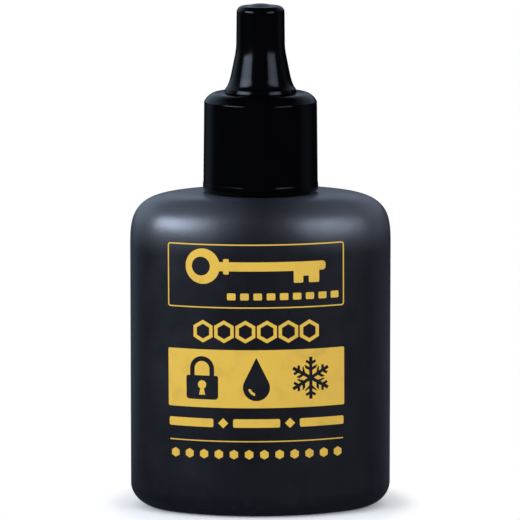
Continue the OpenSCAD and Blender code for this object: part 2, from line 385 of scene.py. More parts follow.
# Polypropylene, injection moulded in a polished tool: near black, with sharp bright glints, a trace of
# smearing and fine marks that run round the piece where fingers turn it.
CLOSURE_PP = PlasticFinish(
    name="pp_injection_moulded_black",
    moulding=Moulding.INJECTED,
    colour="#020203",
    cloud_colour="#040405",
    rub_colour="#101014",
    roughness=0.14,
    roughness_swing=0.03,
    ior=1.49,
    specular=0.22,
    bloom=0.0,
    cloud_mm=4.0,
    peel_mm=0.7,
    peel_depth_mm=0.002,
    wave_mm=6.0,
    wave_depth_mm=0.006,
    rub_mm=0.35,
    rub_amount=0.12,
    worn_below_mm=60.0,
)

# Polypropylene of the nozzle cap, from a second polished tool: the same black with finer patterns.
CAP_PP = replace(
    CLOSURE_PP,
    name="pp_injection_moulded_waxy_black",
    cloud_colour="#040406",
    rub_colour="#111115",
    cloud_mm=3.0,
    peel_mm=0.6,
    wave_mm=5.0,
    wave_depth_mm=0.005,
    rub_mm=0.3,
    worn_below_mm=75.0,
)

# Two-part screen ink printed straight on the flamed wall: an opaque yellow with a soft sheen and a faint
# grain of the mesh. The grain is drawn at 0.3 mm, about three times its real size, so that it shows.
PRINT_INK = InkFinish(
    name="screen_ink_yellow",
    colour="#deb43e",
    thin_colour="#b08a36",
    roughness=0.5,
    thin_mm=3.5,
    grain_mm=0.3,
    grain_depth_mm=0.006,
)

# Cross-linked polyethylene foam, die cut: off-white and matt, with small open pores whose hollows are painted
# darker as painted shade.
GASKET_FOAM = CellFinish(
    name="pe_foam_die_cut",
    colour="#e6e5df",
    cell_colour="#b9b8b1",
    roughness=0.75,
    cell_roughness=0.9,
    metallic=0.0,
    ior=1.5,
    cell_mm=0.35,
    cell_depth_mm=0.05,
)

# Graphite in a thin carrier: dark grey and wet, with flakes that glint like pencil lead.
GRAPHITE_FLUID = CellFinish(
    name="graphite_suspension",
    colour="#26272b",
    cell_colour="#4a4c52",
    roughness=0.3,
    cell_roughness=0.18,
    metallic=0.35,
    ior=1.43,
    cell_mm=0.25,
    cell_depth_mm=0.01,
)


def linked(name: str, data: bpy.types.ID) -> Piece:
    """Puts an object with this data into the scene.

    Args:
        name: The object's name.
        data: Its mesh, curve, light or camera.

    Returns:
        The object, at the origin.
    """
    made = bpy.data.objects.new(name, data)
    bpy.context.scene.collection.objects.link(made)
    return made


def finished(name: str, mesh: Mesh, material: Material) -> Piece:
    """Puts a finished mesh into the scene.

    Args:
        name: The piece's name.
        mesh: Its mesh, in metres.
        material: Its finish.

    Returns:
        The piece, at the origin.
    """
    mesh.name = name
    mesh.materials.clear()
    mesh.materials.append(material)
    mesh.polygons.foreach_set("use_smooth", [True] * len(mesh.polygons))
    return linked(name, mesh)


def baked(holder: Piece) -> Mesh:
    """Takes a helper object out of the scene and keeps its shape.

    Args:
        holder: The helper, which is removed.

    Returns:
        Its evaluated shape.
    """
    mesh = bpy.data.meshes.new_from_object(holder.evaluated_get(bpy.context.evaluated_depsgraph_get()))
    bpy.data.objects.remove(holder)
    return mesh


def working(mesh: Mesh) -> bmesh.types.BMesh:
    """Opens a mesh for work.

    Args:
        mesh: The mesh, which stays as it is.

    Returns:
        A working copy.
    """
    shape = bmesh.new()
    shape.from_mesh(mesh)
    return shape


def plain_mesh(shape: bmesh.types.BMesh) -> Mesh:
    """Turns a working mesh into a plain one with its normals outwards.

    Args:
        shape: The working mesh, which is freed.

    Returns:
        The plain mesh.
    """
    bmesh.ops.recalc_face_normals(shape, faces=shape.faces)
    mesh = bpy.data.meshes.new("shape")
    shape.to_mesh(mesh)
    shape.free()
    return mesh


def loft(rings: list[Ring]) -> Mesh:
    """Joins rings of the same number of points into a closed skin, with a fan at each end.

    Args:
        rings: Rings in millimetres, in order along the skin.

    Returns:
        A mesh in metres.
    """
    skin = bmesh.new()
    rows = [[skin.verts.new(point * MM) for point in ring] for ring in rings]
    count = len(rings[0])
    for low, high in zip(rows, rows[1:]):
        for k in range(count):
            skin.faces.new((low[k], low[(k + 1) % count], high[(k + 1) % count], high[k]))
    for row in (rows[0], rows[-1]):
        middle = skin.verts.new(sum((vertex.co for vertex in row), Vector()) / count)
        for k in range(count):
            skin.faces.new((row[k], row[(k + 1) % count], middle))
    return plain_mesh(skin)


def arc(centre: Point, radius: float, start: float, stop: float, count: int = 10) -> Outline:
    """Gives the points of an arc in this many steps, with both ends. Angles are in degrees."""
    turns = [math.radians(start + (stop - start) * i / count) for i in range(count + 1)]
    return [(centre[0] + radius * math.cos(t), centre[1] + radius * math.sin(t)) for t in turns]


def sharp(outline: Outline) -> list[Corner]:
    """Gives an outline's points as corners without a rounding."""
    return [(x, y, 0.0) for x, y in outline]


def softened(corners: list[Corner], closed: bool, steps: int = 6) -> Outline:
    """Rounds the corners of an outline.

    Args:
        corners: Points with the radius of the rounding there, where 0 leaves the corner.
        closed: True for a loop.
        steps: Steps in each rounding.

    Returns:
        The outline's points. A loop's first point isn't repeated.
    """
    made: Outline = []
    count = len(corners)
    for i, (x, y, radius) in enumerate(corners):
        here = Vector((x, y))
        if radius == 0 or (not closed and i in (0, count - 1)):
            made.append((x, y))
            continue
        before = Vector(corners[i - 1][:2]) - here
        after = Vector(corners[(i + 1) % count][:2]) - here
        half = before.angle(after) / 2
        # A rounding stops just short of the middle of each side, so that two of them never meet.
        reach = min(radius / math.tan(half), before.length * 0.49, after.length * 0.49)
        start = here + before.normalized() * reach
        stop = here + after.normalized() * reach
        centre = here + (before.normalized() + after.normalized()).normalized() * (reach / math.cos(half))
        first, last = start - centre, stop - centre
        sweep = math.atan2(first.x * last.y - first.y * last.x, first.dot(last))
        for k in range(steps + 1):
            spoke = Matrix.Rotation(sweep * k / steps, 2) @ first
            made.append((centre.x + spoke.x, centre.y + spoke.y))
    return made


class NodeForms:
    """Geometry Nodes trees that turn a half section, sweep a thread and repeat a motif in a row."""

    # Steps in a turn of a helix, and the share of a thread's section at its ends.
    helix_steps = 64
    faded = 0.15

    @staticmethod
    def new_tree(name: str, inputs: dict[str, str]) -> tuple[Tree, bpy.types.Node]:
        """Makes a tree with a geometry input, named inputs, a material input and a geometry output.

        Args:
            name: The tree's name.
            inputs: Kinds of socket, such as Int, by input name.

        Returns:
            The tree and its group input node.
        """
        tree = bpy.data.node_groups.new(name, "GeometryNodeTree")
        for label, kind in {"Geometry": "Geometry", **inputs, "Material": "Material"}.items():
            tree.interface.new_socket(label, in_out="INPUT", socket_type="NodeSocket" + kind)
        tree.interface.new_socket("Geometry", in_out="OUTPUT", socket_type="NodeSocketGeometry")
        return tree, put(tree, "NodeGroupInput")

    @staticmethod
    def close_tree(tree: Tree, source: bpy.types.Node, geometry: Socket) -> Tree:
        """Ends a tree in real geometry with its material.

        Args:
            tree: The tree.
            source: Its group input node.
            geometry: The socket with the shape.

        Returns:
            The tree.
        """
        real = put(tree, "GeometryNodeRealizeInstances", {"Geometry": geometry}).outputs[0]
        dress = {"Geometry": real, "Material": source.outputs["Material"]}
        put(tree, "NodeGroupOutput", {"Geometry": put(tree, "GeometryNodeSetMaterial", dress).outputs[0]})
        return tree

    @classmethod
    def lathe(cls) -> Tree:
        """Builds the tree that turns a half section round Z.

        Returns:
            The tree. Its geometry input is the section's points, with the radius in X and the height in Z.
        """
        tree, source = cls.new_tree("turned_body", {"Segments": "Int", "Section points": "Int"})
        columns, count = source.outputs["Segments"], source.outputs["Section points"]
        across = number(tree, "ADD", columns, 1.0)
        grid = put(tree, "GeometryNodeMeshGrid", {"Vertices X": across, "Vertices Y": count})
        index = put(tree, "GeometryNodeInputIndex").outputs[0]
        column = number(tree, "FLOOR", number(tree, "DIVIDE", index, count))
        turn = number(tree, "MULTIPLY", number(tree, "DIVIDE", column, columns), math.tau)
        section = put(tree, "GeometryNodeSampleIndex", {
            "Geometry": source.outputs["Geometry"],
            "Value": put(tree, "GeometryNodeInputPosition").outputs[0],
            "Index": number(tree, "MODULO", index, count),
        }, data_type="FLOAT_VECTOR")
        radius, _, height = put(tree, "ShaderNodeSeparateXYZ", {0: section.outputs[0]}).outputs
        x = number(tree, "MULTIPLY", radius, number(tree, "COSINE", turn))
        y = number(tree, "MULTIPLY", radius, number(tree, "SINE", turn))
        spot = put(tree, "ShaderNodeCombineXYZ", {0: x, 1: y, 2: height}).outputs[0]
        body = put(tree, "GeometryNodeSetPosition", {"Geometry": grid.outputs[0], "Position": spot})
        joined = put(tree, "GeometryNodeMergeByDistance", {"Geometry": body.outputs[0], "Distance": JOIN})
        return cls.close_tree(tree, source, joined.outputs[0])

    @classmethod
    def thread(cls) -> Tree:
        """Builds the tree that sweeps a section along a right-hand helix and fades it at both ends.

        Returns:
            The tree. Its geometry input is the section's loop, with the way out in X and the height in Y.
        """
        inputs = dict.fromkeys(("Radius", "Pitch", "Turns", "Fade turns"), "Float")
        tree, source = cls.new_tree("helical_thread", inputs)
        radius, pitch, turns, fade_turns = (source.outputs[label] for label in inputs)
        helix = put(tree, "GeometryNodeCurveSpiral", {
            "Resolution": cls.helix_steps,
            "Rotations": turns,
            "Start Radius": radius,
            "End Radius": radius,
            "Height": number(tree, "MULTIPLY", pitch, turns),
        })
        upright = put(tree, "GeometryNodeSetCurveNormal", {"Curve": helix.outputs[0]}, mode="Z_UP")
        gone = number(tree, "MULTIPLY", put(tree, "GeometryNodeSplineParameter").outputs["Factor"], turns)
        near = number(tree, "MINIMUM", gone, number(tree, "SUBTRACT", turns, gone))
        section = put(tree, "GeometryNodeMeshToCurve", {"Mesh": source.outputs["Geometry"]})
        swept = put(tree, "GeometryNodeCurveToMesh", {
            "Curve": upright.outputs[0],
            "Profile Curve": section.outputs[0],
            "Scale": ranged(tree, near, (0.0, fade_turns), (cls.faded, 1.0), smooth=True),
            "Fill Caps": True,
        })
        return cls.close_tree(tree, source, swept.outputs[0])

    @classmethod
    def row(cls) -> Tree:
        """Builds the tree that repeats a flat motif in a row that is centred on the origin.

        Returns:
            The tree. Its geometry input is one motif.
        """
        tree, source = cls.new_tree("motif_row", {"Count": "Int", "Spacing": "Float"})
        count, spacing = source.outputs["Count"], source.outputs["Spacing"]
        length = number(tree, "MULTIPLY", number(tree, "ADD", count, -1.0), spacing)
        first = put(tree, "ShaderNodeCombineXYZ", {0: number(tree, "MULTIPLY", length, -0.5)}).outputs[0]
        step = put(tree, "ShaderNodeCombineXYZ", {0: spacing}).outputs[0]
        line = put(tree, "GeometryNodeMeshLine", {"Count": count, "Start Location": first, "Offset": step})
        motifs = put(tree, "GeometryNodeInstanceOnPoints", {
            "Points": line.outputs[0], "Instance": source.outputs["Geometry"],
        })
        return cls.close_tree(tree, source, motifs.outputs[0])

    @staticmethod
    def grow(tree: Tree, seed: Mesh, inputs: dict[str, object]) -> Mesh:
        """Runs a tree on a mesh.

        Args:
            tree: The tree.
            seed: The mesh that goes into it.
            inputs: Values by input name.

        Returns:
            The result as a plain mesh.
        """
        holder = linked("holder", seed)
        modifier = holder.modifiers.new("form", "NODES")
        modifier.node_group = tree
        for item in tree.interface.items_tree:
            if item.in_out == "INPUT" and item.name in inputs:
                modifier[item.identifier] = inputs[item.name]
        return baked(holder)


def wire(points: list[Corner], closed: bool) -> Mesh:
    """Makes a mesh of points joined by edges.

    Args:
        points: The points, in millimetres.
        closed: True to join the last point to the first.

    Returns:
        The mesh, in metres.
    """
    mesh = bpy.data.meshes.new("wire")
    count = len(points)
    edges = [(i, (i + 1) % count) for i in range(count if closed else count - 1)]
    mesh.from_pydata([Vector(point) * MM for point in points], edges, [])
    return mesh


def turned(name: str, section: Outline, closed: bool, material: Material, segments: int = 144) -> Piece:
    """Turns a half section round Z into a piece.

    Args:
        name: The piece's name.
        section: Radius and height of the section's points, in millimetres.
        closed: True for a loop that stays clear of the axis.
        material: The piece's finish.
        segments: Steps round the axis.

    Returns:
        The piece.
    """
    points = [(r, 0.0, z) for r, z in (section + section[:1] if closed else section)]
    shape = working(NodeForms.grow(NodeForms.lathe(), wire(points, False), {
        "Segments": segments, "Section points": len(points), "Material": material,
    }))
    bmesh.ops.dissolve_degenerate(shape, dist=SPECK, edges=shape.edges)
    return finished(name, plain_mesh(shape), material)


@dataclass
class Thread:
    """Rounded helical thread that is rooted in a round wall."""

    name: str
    material: Material
    wall_r: float
    start_z: float
    turns: float
    outwards: bool
    root_w: float = 1.8
    crest_w: float = 0.8
    crest_edge: float = 0.2
    depth: float = 0.85
    sink: float = 0.35
    pitch: float = 3.0
    fade: float = 40 / 360

    def build(self) -> Piece:
        """Sweeps the thread.

        Returns:
            The thread's piece.
        """
        side = 1.0 if self.outwards else -1.0
        slope = (self.root_w - self.crest_w) / self.depth / 2
        foot = self.root_w / 2 + slope * self.sink
        corners = [
            (-side * self.sink, -foot, 0.0),
            (side * self.depth, -self.crest_w / 2, self.crest_edge),
            (side * self.depth, self.crest_w / 2, self.crest_edge),
            (-side * self.sink, foot, 0.0),
        ]
        mesh = NodeForms.grow(NodeForms.thread(), wire(sharp(softened(corners, True, 4)), True), {
            "Radius": self.wall_r * MM,
            "Pitch": self.pitch * MM,
            "Turns": self.turns,
            "Fade turns": self.fade,
            "Material": self.material,
        })
        mesh.transform(Matrix.Translation((0, 0, self.start_z * MM)))
        shape = working(mesh)
        bmesh.ops.remove_doubles(shape, verts=shape.verts, dist=WELD)
        return finished(self.name, plain_mesh(shape), self.material)


@dataclass
class Bottle:
    """Oval blow-moulded shell with a rounded shoulder, a foot ring round a push-up, and a threaded neck."""

    material: Material
    body_w: float = 45.8
    body_d: float = 30.0
    side_r: float = 11.5
    shoulder_z: float = 45.5
    shoulder_h: float = 10.3
    side_n: float = 3.65
    front_n: float = 2.55
    deck_r: float = 9.2
    base_h: float = 4.0
    foot_w: float = 36.5
    foot_d: float = 23.2
    foot_ring: float = 1.4
    push_up: float = 1.0
    push_run: float = 1.2
    wall: float = 1.0
    neck_r: float = 7.75
    neck_h: float = 15.05
    neck_wall: float = 1.4
    neck_foot: float = 0.3
    neck_lap: float = 0.5
    bore_lap: float = 0.8
    bead_z: float = 1.9
    bead_out: float = 0.5
    bead_flat: float = 0.2
    rim_chamfer: float = 0.2
    thread_z: float = 61.7
    thread_turns: float = 1.5
    seam_out: float = 0.05
    seam_a: float = 0.45
    seam_marks: tuple[float, ...] = (0.0, 180.0)
    pinch_l: float = 19.0
    pinch_half_w: float = 0.32
    pinch_h: float = 0.28
    pinch_least: float = 0.05
    pinch_n: int = 8
    pinch_steps: int = 32
    pinch_sides: int = 14
    step_a: float = 2.5
    side_steps: int = 10
    inner_steps: int = 4
    shoulder_steps: int = 40
    curve_steps: int = 600
    base_steps: int = 16
    push_steps: int = 8
    middle_rings: tuple[float, ...] = (0.35, 0.7)
    angles: list[float] = field(init=False)

    def __post_init__(self) -> None:
        """Works out the normal angles of the plan's points, close together at the two mould seams."""
        turns = {i * self.step_a for i in range(round(360 / self.step_a))}
        turns |= {(mark + k * self.seam_a) % 360 for mark in self.seam_marks for k in (-2, -1, 1, 2)}
        self.angles = sorted(turns)

    @property
    def side_c(self) -> float:
        """Distance from the axis to the centre of a narrow side's arc."""
        return self.body_w / 2 - self.side_r

    @property
    def front_c(self) -> float:
        """Distance from the axis to the centre of the front's arc."""
        return (self.side_c**2 - (self.body_d / 2 - self.side_r) ** 2) / (self.body_d - 2 * self.side_r)

    @property
    def front_r(self) -> float:
        """Radius of the front's arc."""
        return self.body_d / 2 + self.front_c

    @property
    def deck_z(self) -> float:
        """Height of the deck round the neck."""
        return self.shoulder_z + self.shoulder_h

    @property
    def rim_z(self) -> float:
        """Height of the neck's rim."""
        return self.deck_z + self.neck_h

    def plan(self, angle: float, inset: float) -> Vector:
        """Gives a point of the oval plan.

        Args:
            angle: Direction of the plan's normal there, in degrees.
            inset: How far the point lies inside the outer plan.

        Returns:
            The point, flat.
        """
        a = math.radians(angle)
        way = Vector((math.cos(a), math.sin(a)))
        turn = math.atan(self.front_c / self.side_c)
        if abs(way.y) <= math.sin(turn):
            return Vector((math.copysign(self.side_c, way.x), 0)) + (self.side_r - inset) * way
        return Vector((0, -math.copysign(self.front_c, way.y))) + (self.front_r - inset) * way

    def seam(self, angle: float) -> float:
        """Gives the share of the mould seam's height at a normal angle of the plan."""
        gap = min(abs((angle - mark + 180) % 360 - 180) for mark in self.seam_marks)
        return max(0.0, 1 - gap / (2 * self.seam_a))

    def ring(self, share: Share, inset: float, radius: float, z: float, seam: float = 0.0) -> Ring:
        """Gives a ring between the oval plan and a circle.

        Args:
            share: 1 for the plan and 0 for the circle, or a function that gives it for a normal angle.
            inset: How far the plan is moved inwards.
            radius: The circle's radius.
            z: The ring's height.
            seam: Share of the mould seam's height.

        Returns:
            The ring's points.
        """
        made = []
        for angle in self.angles:
            a = math.radians(angle)
            way = Vector((math.cos(a), math.sin(a)))
            part = share(angle) if callable(share) else share
            flat = part * self.plan(angle, inset) + (1 - part) * radius * way
            flat += way * (self.seam_out * seam * self.seam(angle))
            made.append(Vector((flat.x, flat.y, z)))
        return made

    def foot(self, inset: float, width: float, depth: float, z: float, seam: float = 0.0) -> Ring:
        """Gives a ring with the plan's shape at an inset, drawn in to a width and a depth."""
        wide, deep = width / (self.body_w - 2 * inset), depth / (self.body_d - 2 * inset)
        return [Vector((p.x * wide, p.y * deep, z)) for p in self.ring(1, inset, 0, z, seam)]

    def base_rings(self, inset: float) -> list[Ring]:
        """Gives the rings of the base from the raised middle up to the side.

        Args:
            inset: Depth of the skin under the outside.

        Returns:
            The rings.
        """
        run = self.foot_ring + self.push_run
        wide, deep = self.foot_w - 2 * run, self.foot_d - 2 * run
        rings = [self.foot(inset, k * wide, k * deep, self.push_up + inset) for k in self.middle_rings]
        for k in range(self.push_steps + 1):
            t = k / self.push_steps
            draw = 2 * (run - self.push_run * t)
            z = inset + self.push_up * (1 - t * t * (3 - 2 * t))
            rings.append(self.foot(inset, self.foot_w - draw, self.foot_d - draw, z))
        for k in range(self.base_steps + 1):
            a = math.pi / 2 * k / self.base_steps
            width = self.foot_w + (self.body_w - 2 * inset - self.foot_w) * math.sin(a)
            depth = self.foot_d + (self.body_d - 2 * inset - self.foot_d) * math.sin(a)
            z = inset + (self.base_h - inset) * (1 - math.cos(a))
            rings.append(self.foot(inset, width, depth, z, math.sin(a) if inset == 0 else 0.0))
        return rings

    def share(self, climb: float, angle: float) -> float:
        """Gives the plan's share at a share of the shoulder's height. The sides are squarer than the rest."""
        n = self.front_n + (self.side_n - self.front_n) * math.cos(math.radians(angle)) ** 2
        return (1 - min(1.0, max(0.0, climb)) ** n) ** (1 / n)

    def shoulder_rings(self, inset: float) -> list[Ring]:
        """Gives the rings of the shoulder from the side up to the deck, spaced evenly along the curve.

        Args:
            inset: Depth of the skin under the outside.

        Returns:
            The rings.
        """
        last = self.curve_steps
        climbs = [math.sin(math.pi / 2 * i / last) ** (2 / self.side_n) for i in range(last + 1)]
        curve = [(self.share(t, 0.0), t) for t in climbs]
        reach, rise = self.body_w / 2 - self.deck_r, self.shoulder_h - inset
        run = [0.0]
        for p, q in zip(curve, curve[1:]):
            run.append(run[-1] + math.hypot((q[0] - p[0]) * reach, (q[1] - p[1]) * rise))
        rings, at = [], 0
        for k in range(self.shoulder_steps + 1):
            want = run[-1] * k / self.shoulder_steps
            while at < last and run[at] < want - 1e-9:
                at += 1
            f, t = curve[at]
            seam = f if inset == 0 else 0.0
            share = partial(self.share, t)
            rings.append(self.ring(share, inset, self.deck_r - inset, self.shoulder_z + rise * t, seam))
        return rings

    def neck_section(self) -> Outline:
        """Gives the neck's section.

        Returns:
            Radius and height of its points from the deck, over the rim and down the bore.
        """
        deck, rim, r = self.deck_z, self.rim_z, self.neck_r
        low, high = deck + self.bead_z - self.bead_flat / 2, deck + self.bead_z + self.bead_flat / 2
        bore = r - self.neck_wall
        corners = [
            (r + self.neck_foot + self.neck_lap, deck, 0.0),
            (r + self.neck_foot, deck, 0.2),
            (r + self.neck_foot, deck + self.neck_foot, 0.1),
            (r, deck + 2 * self.neck_foot, 0.2),
            (r, low - self.bead_out, 0.15),
            (r + self.bead_out, low, 0.25),
            (r + self.bead_out, high, 0.25),
            (r, high + self.bead_out, 0.15),
            (r, rim - self.rim_chamfer, 0.1),
            (r - self.rim_chamfer, rim, 0.1),
            (bore, rim, 0.15),
            (bore, deck - self.wall, 0.3),
            (bore + self.bore_lap, deck - self.wall, 0.0),
        ]
        return softened(corners, False, 5)

    def build(self) -> Piece:
        """Lofts the outside, the neck and the inside into one closed shell.

        Returns:
            The shell's piece.
        """
        low, height = self.base_h, self.shoulder_z - self.base_h
        out, inn = self.side_steps, self.inner_steps
        sides = [self.ring(1, 0, 0, low + height * k / out, 1.0) for k in range(1, out)]
        inside = [self.ring(1, self.wall, 0, low + height * k / inn) for k in range(1, inn)]
        outer = [*self.base_rings(0), *sides, *self.shoulder_rings(0)]
        neck = [self.ring(0, 0, r, z) for r, z in self.neck_section()]
        inner = [*self.base_rings(self.wall), *inside, *self.shoulder_rings(self.wall)]
        return finished("bottle_shell", loft([*outer, *neck, *reversed(inner)]), self.material)

    def build_thread(self) -> Piece:
        """Makes the neck's thread with the bottle's finish."""
        wall, start, turns = self.neck_r, self.thread_z, self.thread_turns
        return Thread("neck_thread", self.material, wall, start, turns, outwards=True).build()

    def build_pinch_line(self) -> Piece:
        """Makes the low ridge across the raised base where the mould pinched the parison.

        Returns:
            The ridge's piece.
        """
        turns = [math.tau * i / self.pinch_sides for i in range(self.pinch_sides)]
        oval = [(self.pinch_half_w * math.cos(a), self.pinch_h * math.sin(a)) for a in turns]
        rings = []
        for k in range(self.pinch_steps + 1):
            t = k / self.pinch_steps * 2 - 1
            swell = max(self.pinch_least, 1 - t**self.pinch_n) ** 0.5
            x = t * self.pinch_l / 2
            rings.append([Vector((x, y * swell, self.push_up - z * swell)) for y, z in oval])
        return finished("pinch_line", loft(rings), self.material)

    def on_front(self, s: float, z: float) -> Vector:
        """Gives a point on the front's outside.

        Args:
            s: Distance from the middle line along the wall, positive to the right.
            z: Height.

        Returns:
            The point.
        """
        share = self.share((z - self.shoulder_z) / self.shoulder_h, math.degrees(s / self.front_r) - 90)
        radius = share * self.front_r + (1 - share) * self.deck_r
        a = s / radius
        return Vector((radius * math.sin(a), share * self.front_c - radius * math.cos(a), z))

    def off_front(self, s: float, z: float, lift: float, step: float = 0.01) -> Vector:
        """Gives a point at a small distance from the front's outside.

        Args:
            s: Distance from the middle line along the wall.
            z: Height.
            lift: Distance outwards.
            step: Length over which the wall's slope is measured.

        Returns:
            The point.
        """
        here = self.on_front(s, z)
        normal = (self.on_front(s + step, z) - here).cross(self.on_front(s, z + step) - here)
        return here + normal.normalized() * lift


@dataclass
class ScrewCloser:
    """Screw closure: smooth skirt with a thicker foot, rounded top, boss and nozzle with its channel."""

    material: Material
    skirt_in_r: float = 8.85
    skirt_top_r: float = 9.9
    skirt_low_r: float = 10.05
    skirt_z: float = 56.1
    skirt_chamfer: float = 0.2
    foot_h: float = 1.2
    foot_out: float = 0.08
    foot_run: float = 0.4
    edge_r: float = 3.2
    edge_low_a: float = 28.0
    edge_high_a: float = 70.0
    edge_trim_low_a: float = 13.0
    edge_trim_high_a: float = 8.0
    plate_z: float = 71.65
    top_z: float = 73.25
    seat_r: float = 4.5
    seat_h: float = 1.62
    nozzle_r: float = 3.1
    nozzle_tip_r: float = 1.6
    nozzle_h: float = 12.15
    orifice_r: float = 0.6
    orifice_l: float = 3.0
    channel_r: float = 2.6
    thread_z: float = 60.2
    thread_turns: float = 1.25

    def build(self) -> Piece:
        """Turns the closure.

        Returns:
            The closure's piece.
        """
        leave, meet = math.radians(self.edge_low_a), math.radians(self.edge_high_a)
        edge_z = self.top_z - self.edge_r * (math.sin(meet) - math.sin(leave))
        middle = (self.skirt_top_r - self.edge_r * math.cos(leave), edge_z - self.edge_r * math.sin(leave))
        first, last = self.edge_low_a + self.edge_trim_low_a, self.edge_high_a - self.edge_trim_high_a
        edge_end_r = middle[0] + self.edge_r * math.cos(meet)
        seat, tip = self.top_z + self.seat_h, self.top_z + self.nozzle_h
        foot_r, foot_top = self.skirt_low_r + self.foot_out, self.skirt_z + self.foot_h
        corners = [
            (self.skirt_in_r, self.skirt_z, 0.15),
            (foot_r - self.skirt_chamfer, self.skirt_z, 0.15),
            (foot_r, self.skirt_z + self.skirt_chamfer, 0.15),
            (foot_r, foot_top, 2.0),
            (self.skirt_low_r, foot_top + self.foot_run, 2.0),
            (self.skirt_top_r, edge_z, 0.45),
            *sharp(arc(middle, self.edge_r, first, last, 14)),
            (edge_end_r, self.top_z, 1.2),
            (self.seat_r, self.top_z, 0.1),
            (self.seat_r, seat, 0.2),
            (self.nozzle_r, seat, 0.3),
            (self.nozzle_tip_r, tip, 0.4),
            (self.orifice_r, tip, 0.12),
            (self.orifice_r, tip - self.orifice_l, 0.1),
            (self.channel_r, self.plate_z, 0.15),
            (self.skirt_in_r, self.plate_z, 0.2),
        ]
        return turned("closure_shell", softened(corners, True), True, self.material)

    def build_thread(self) -> Piece:
        """Makes the closure's inside thread with the closure's finish."""
        wall, start, turns = self.skirt_in_r, self.thread_z, self.thread_turns
        return Thread("closure_thread", self.material, wall, start, turns, outwards=False).build()


@dataclass
class NozzleCap:
    """Flared cap over the nozzle, with a low crown on its end and a pin that seals the orifice."""

    material: Material
    rim_z: float = 73.25
    seat_bore_r: float = 4.55
    rim_r: float = 6.15
    rim_out: float = 0.2
    rim_edge: float = 0.15
    rim_h: float = 0.75
    flare_r: float = 2.9
    flare_a: float = 40.0
    waist_r: float = 9.0
    waist_a: float = 22.0
    cone_a: float = 11.5
    cone_h: float = 3.45
    blend_r: float = 12.0
    tip_a: float = 0.7
    tip_edge_r: float = 1.1
    height: float = 15.25
    wall: float = 0.9
    end_t: float = 1.0
    crown_r: float = 2.4
    crown_h: float = 0.4
    nozzle_h: float = 12.15
    pin_r: float = 0.55
    pin_l: float = 1.0
    pin_root_r: float = 1.0
    tip_gap: float = 0.3
    seat_lap: float = 0.1

    @staticmethod
    def hollow(start: Point, radius: float, slope: float, last: float, count: int) -> Outline:
        """Gives a hollow curve that climbs from one slope to a last one, in degrees from the vertical."""
        centre = arc(start, radius, slope, slope)[0]
        return arc(centre, radius, 180 + slope, 180 + last, count)

    def build(self) -> Piece:
        """Turns the cap.

        Returns:
            The cap's piece.
        """
        lean, rest = math.tan(math.radians(self.cone_a)), math.tan(math.radians(self.tip_a))
        flare = self.hollow((self.rim_r, self.rim_h), self.flare_r, self.flare_a, self.waist_a, 10)
        flare += self.hollow(flare[-1], self.waist_r, self.waist_a, self.cone_a, 8)[1:]
        foot_r, foot_h = flare[-1]
        cone_top = (foot_r - self.cone_h * lean, foot_h + self.cone_h)
        blend = self.hollow(cone_top, self.blend_r, self.cone_a, self.tip_a, 14)
        top_r, top_h = blend[-1]
        edge_h = self.height - self.tip_edge_r
        tip_r = top_r - (edge_h - top_h) * rest
        edge = arc((tip_r - self.tip_edge_r, edge_h), self.tip_edge_r, 0, 90, 14)
        ball = (self.crown_r**2 + self.crown_h**2) / self.crown_h / 2
        crown_top = self.height + self.crown_h
        crown = arc((0.0, crown_top - ball), ball, 90 - math.degrees(math.asin(self.crown_r / ball)), 90)
        inner_r = foot_r - self.wall / math.cos(math.radians(self.cone_a))
        end, low_r = self.height - self.end_t, self.rim_r + self.rim_out
        pin_h, root_h = self.nozzle_h - self.pin_l, self.nozzle_h + self.tip_gap
        corners = [
            (0.0, pin_h, 0.0),
            (self.pin_r, pin_h, 0.15),
            (self.pin_r, root_h, 0.1),
            (self.pin_root_r, root_h, 0.15),
            (self.pin_root_r, end, 0.15),
            (tip_r - self.wall, end, 0.3),
            (top_r - self.wall, top_h, 0.3),
            (inner_r - self.cone_h * lean, cone_top[1], 0.3),
            (self.seat_bore_r, foot_h + (inner_r - self.seat_bore_r) / lean, 0.15),
            (self.seat_bore_r, self.seat_lap, 0.0),
            (self.seat_bore_r, 0.0, 0.1),
            (low_r - self.rim_edge, 0.0, 0.12),
            (low_r, self.rim_edge, 0.12),
            (*flare[0], 0.3),
            *sharp([*flare[1:], *blend, *edge]),
            (self.crown_r, self.height, 0.6),
            *sharp([*crown[2:-1], (0.0, crown_top)]),
        ]
        section = [(r, z + self.rim_z) for r, z in softened(corners, False)]
        return turned("cap_shell", section, False, self.material)


